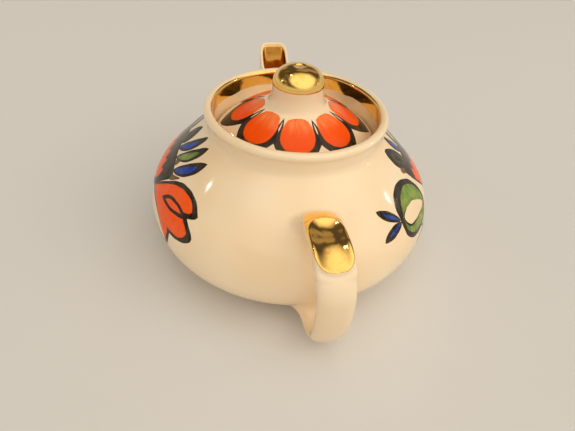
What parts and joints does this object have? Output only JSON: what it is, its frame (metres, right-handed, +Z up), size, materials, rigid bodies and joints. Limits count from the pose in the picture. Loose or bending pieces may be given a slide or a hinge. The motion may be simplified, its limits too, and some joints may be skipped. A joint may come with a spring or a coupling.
{
  "type": "porcelain teapot",
  "caption": "Squat round glazed porcelain teapot with a drop-in domed lid, gilded knob, short open spout and looped strap handle with a dished thumb rest.",
  "frame": {"origin": "middle of the foot ring, on the table", "axes": "+Z up; +X points from the middle of the pot to the spout, and the handle is at -X"},
  "size_m": [0.1732, 0.145, 0.0988],
  "materials": {
    "porcelain": "glossy, clear glazed",
    "gilding": "mirror-bright gold lustre"
  },
  "bodies": {
    "pot": {"foot": "porcelain", "pot_body": "porcelain", "shoulder": "porcelain", "neck": "porcelain", "lid_ledge": "porcelain", "spout": "porcelain", "handle": "porcelain", "rim_gilding": "gilding", "spout_gilding": "gilding", "thumb_rest_gilding": "gilding"},
    "lid": {"lid": "porcelain", "lid_skirt": "porcelain", "knob": "porcelain", "knob_gilding": "gilding"}
  },
  "joints": [
    {"name": "lid_lift", "type": "slide", "parent": "pot", "child": "lid", "axis": [0, 0, 1], "range_m": [0, 0.05]}
  ]
}
